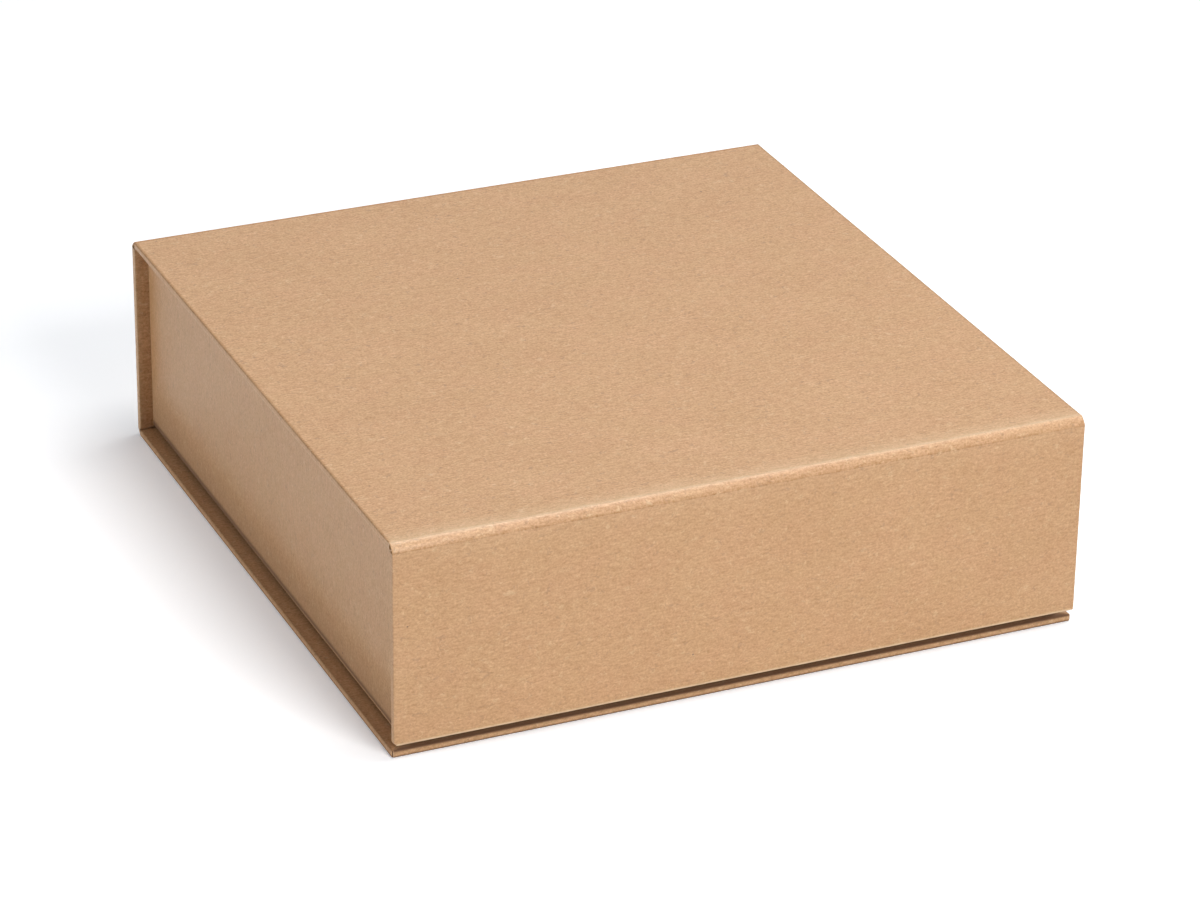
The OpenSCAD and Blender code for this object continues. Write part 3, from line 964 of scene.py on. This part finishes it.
# %% Ride, and stand in for the plain solids
rides = {
    "tray_and_base": [base_spine_paper, base_fold, spine_lining, tray_paper, floor_lining],
    "lid": [lid_paper, lid_lining],
    "flap": [flap_paper, flap_lining],
}
for body, pieces in rides.items():
    for piece in pieces:
        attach(piece, body)
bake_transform(lid_hinge_paper)
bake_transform(flap_hinge_paper)
stands_for = {
    "base_spine_wrap": base_spine_paper, "lid_wrap": lid_paper, "flap_wrap": flap_paper,
    "lid_fold": lid_hinge_paper, "flap_fold": flap_hinge_paper, "lid_lining": lid_lining,
    "flap_lining": flap_lining, "spine_lining": spine_lining, "tray_wrap": tray_paper,
    "tray_floor_lining": floor_lining,
}
for node_name, piece in stands_for.items():
    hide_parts(node_name)
print("pieces that stand for a node:", len(stands_for))

# %% [markdown]
# ## The table
#
# The box stands on a white table that has no edge in view, so it reads as a plain white page with a soft
# shadow on it. For the light that falls on the box, the table is a light grey sheet, so that it throws back
# no more than a real one. The camera sees it white, with a faint glow of its own, so the open table comes out
# as blank as the photograph's.

# %% A white table
TABLE_LIT, TABLE_SEEN = (0.60, 0.60, 0.60, 1), (0.95, 0.95, 0.95, 1)
GLOW, GLOW_STRENGTH = (0.96, 1.0, 1.07, 1), 0.25


def is_seen(tree, path):
    """1 for a ray from the camera, a mirror or glass, 0 for a ray of scattered light."""
    mirrored = sums(tree, "MAXIMUM", path.outputs["Is Glossy Ray"], path.outputs["Is Transmission Ray"])
    return sums(tree, "MAXIMUM", path.outputs["Is Camera Ray"], mirrored)


def white_table(name):
    """A matt sheet that is white to the camera and light grey to the light that it scatters."""
    material, tree = new_material(name)
    path = add(tree, "LightPath")
    white = blend_colours(tree, is_seen(tree, path), TABLE_LIT, TABLE_SEEN)
    matt = add(tree, "BsdfDiffuse", Color=white)
    strength = sums(tree, "MULTIPLY", path.outputs["Is Camera Ray"], GLOW_STRENGTH)
    glow = add(tree, "Emission", Color=GLOW, Strength=strength)
    both = add(tree, "AddShader", _0=matt.outputs[0], _1=glow.outputs[0])
    add(tree, "OutputMaterial", Surface=both.outputs[0])
    return material


table_mesh = bpy.data.meshes.new("table")
reach = 6.0
table_corners = [(-reach, -reach, 0), (reach, -reach, 0), (reach, reach, 0), (-reach, reach, 0)]
table_mesh.from_pydata(table_corners, [], [(0, 1, 2, 3)])
table = bpy.data.objects.new("table", table_mesh)
bpy.context.scene.collection.objects.link(table)
table_mesh.materials.append(white_table("white_table"))
table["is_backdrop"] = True
print("table %.0f m wide" % (2 * reach))

# %% [markdown]
# ## Light
#
# The photograph was lit softly. Its lid and its front are about equally bright, its left side is a third
# dimmer, and the shadow on the table lies to the left, is faint and a little blue. So one wide soft lamp
# hangs above and slightly to the right, another stands in front, and a weaker one on the left lifts the left
# side. The rest comes from a cool room, which is brighter near the horizon than overhead.

# %% The room and its lamps
ROOM_LIGHT, ROOM_LOW, ROOM_HIGH = (0.92, 0.98, 1.06, 1), 0.42, 0.10
world = bpy.data.worlds.new("room")
bpy.context.scene.world = world
world.use_nodes = True
world.node_tree.nodes.clear()
tree = world.node_tree
seen = is_seen(tree, add(tree, "LightPath"))
upward = add(tree, "SeparateXYZ", Vector=add(tree, "TexCoord").outputs["Generated"]).outputs["Z"]
room_strength = ramp(tree, upward, 0.05, 0.4, ROOM_LOW, ROOM_HIGH)
room_light = add(tree, "Background", Color=ROOM_LIGHT, Strength=room_strength)
room_seen = add(tree, "Background", Color=(1, 1, 1, 1), Strength=0.9)
both = add(tree, "MixShader", _0=seen, _1=room_light.outputs[0], _2=room_seen.outputs[0])
add(tree, "OutputWorld", Surface=both.outputs[0])


def soft_lamp(name, towards, distance, across, level):
    """A square lamp that faces the box. At level 1 it alone would light a facing white sheet to white."""
    data = bpy.data.lights.new(name, "AREA")
    data.shape, data.size = "SQUARE", across
    data.energy = level * math.pi * distance ** 2 * math.pi
    lamp = bpy.data.objects.new(name, data)
    lamp.visible_camera = False
    direction = Vector(towards).normalized()
    lamp.location = direction * distance
    lamp.rotation_mode = "QUATERNION"
    lamp.rotation_quaternion = direction.to_track_quat("Z", "Y")
    bpy.context.scene.collection.objects.link(lamp)
    return lamp


lamps = [
    soft_lamp("lamp_above", (0.22, 0.0, 1.0), 1.35, 0.85, 0.63),
    soft_lamp("lamp_in_front", (0.20, -1.0, 0.62), 2.0, 0.8, 0.74),
    soft_lamp("lamp_on_the_left", (-1.0, 0.06, 0.20), 2.0, 0.6, 0.325),
]
for lamp in lamps:
    print("%s: %.1f W, %.2f m from the box" % (lamp.name, lamp.data.energy, lamp.location.length))

# %% [markdown]
# ## Camera
#
# The photograph was taken with a long lens, from the front left and above, with the camera tipped a touch to
# one side. The angles, the distance and the lens below were worked out from nine corners of the box in the
# photograph.

# %% The photograph's camera
azimuth, elevation, roll = math.radians(-23.83), math.radians(26.24), math.radians(0.81)
distance = 1458.7 * MM
focal_pixels, photo_width, sensor_width = 4706, 1200, 36
look_at = Vector((0.2 * MM, -7.9 * MM, 29.8 * MM))
towards_camera = Vector((
    math.sin(azimuth) * math.cos(elevation),
    -math.cos(azimuth) * math.cos(elevation),
    math.sin(elevation)))
right = Vector((math.cos(azimuth), math.sin(azimuth), 0))
up = towards_camera.cross(right)
right, up = right * math.cos(roll) + up * math.sin(roll), up * math.cos(roll) - right * math.sin(roll)
camera = bpy.data.objects.new("camera", bpy.data.cameras.new("camera"))
camera.data.lens, camera.data.sensor_width = focal_pixels * sensor_width / photo_width, sensor_width
camera.data.clip_start, camera.data.clip_end = 0.05, 50
camera.matrix_world = Matrix((right, up, towards_camera)).transposed().to_4x4()
camera.location = look_at + towards_camera * distance
bpy.context.scene.collection.objects.link(camera)
bpy.context.scene.camera = camera
bpy.context.scene.view_settings.view_transform = "Standard"
print("lens %.1f mm, camera %.2f m away" % (camera.data.lens, distance))

# %% [markdown]
# ## Print both sizes
#
# The dressed box must be as large as the model it was built round, so both boxes are written down before the
# end.

# %% Print both sizes
shown_low, shown_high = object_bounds()
for name, extent in (("model", size), ("shown", shown_high - shown_low)):
    print(name, "size in mm:", [round(s / MM, 2) for s in extent])
